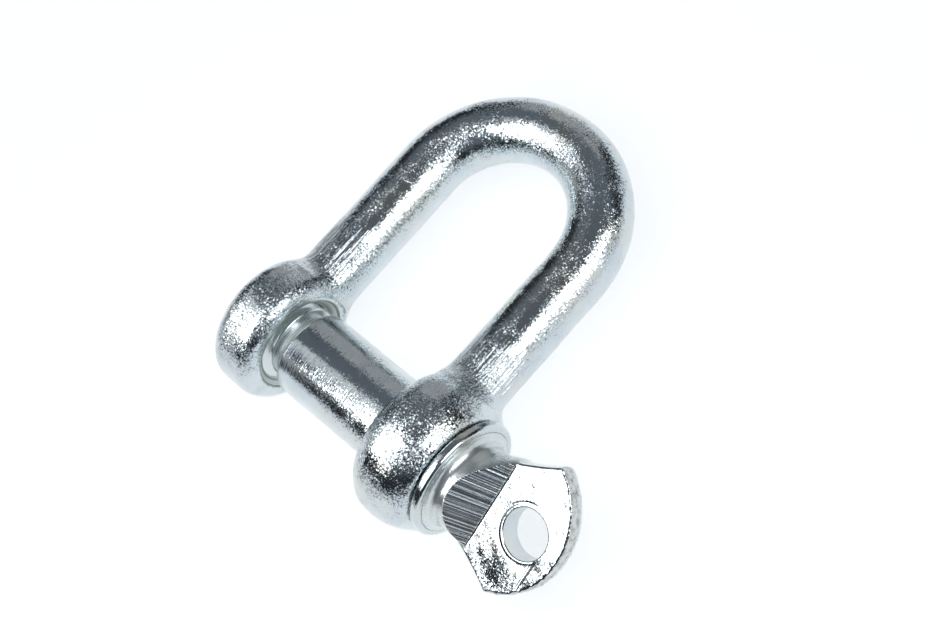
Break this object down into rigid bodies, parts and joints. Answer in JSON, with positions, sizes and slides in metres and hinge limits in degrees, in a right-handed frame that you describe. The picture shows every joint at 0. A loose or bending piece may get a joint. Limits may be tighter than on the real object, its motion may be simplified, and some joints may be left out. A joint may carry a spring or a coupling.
{
  "type": "dee shackle",
  "caption": "Zinc-plated steel dee shackle with a forged round-bar bow, a plain and a threaded ear, and a collared eye screw pin.",
  "frame": {"origin": "on the pin's axis, midway between the two ears", "axes": "+X along the pin towards its eye, +Y towards the crown of the bow, +Z square to the bow's plane; the shackle lies flat"},
  "size_m": [0.0565, 0.0582, 0.0216],
  "materials": {
    "bow_steel": "forged steel, bright zinc electroplate, fine grained",
    "pin_steel": "forged and turned steel, bright zinc electroplate"
  },
  "bodies": {
    "bow": {"bow": "bow_steel"},
    "pin_collar": {"pin_collar": "pin_steel"},
    "screw_pin": {"screw_pin": "pin_steel"}
  },
  "joints": [
    {"name": "pin_travel", "type": "slide", "parent": "bow", "child": "pin_collar", "axis": [1, 0, 0], "range_m": [0, 0.0385]},
    {"name": "pin_turn", "type": "hinge", "parent": "pin_collar", "child": "screw_pin", "pos_m": [0, 0, 0], "axis": [1, 0, 0], "range_deg": [0, 7920]}
  ],
  "couplings": [
    {"joint": "pin_turn", "follows": "pin_travel", "rad_per_m": 3590.4}
  ]
}
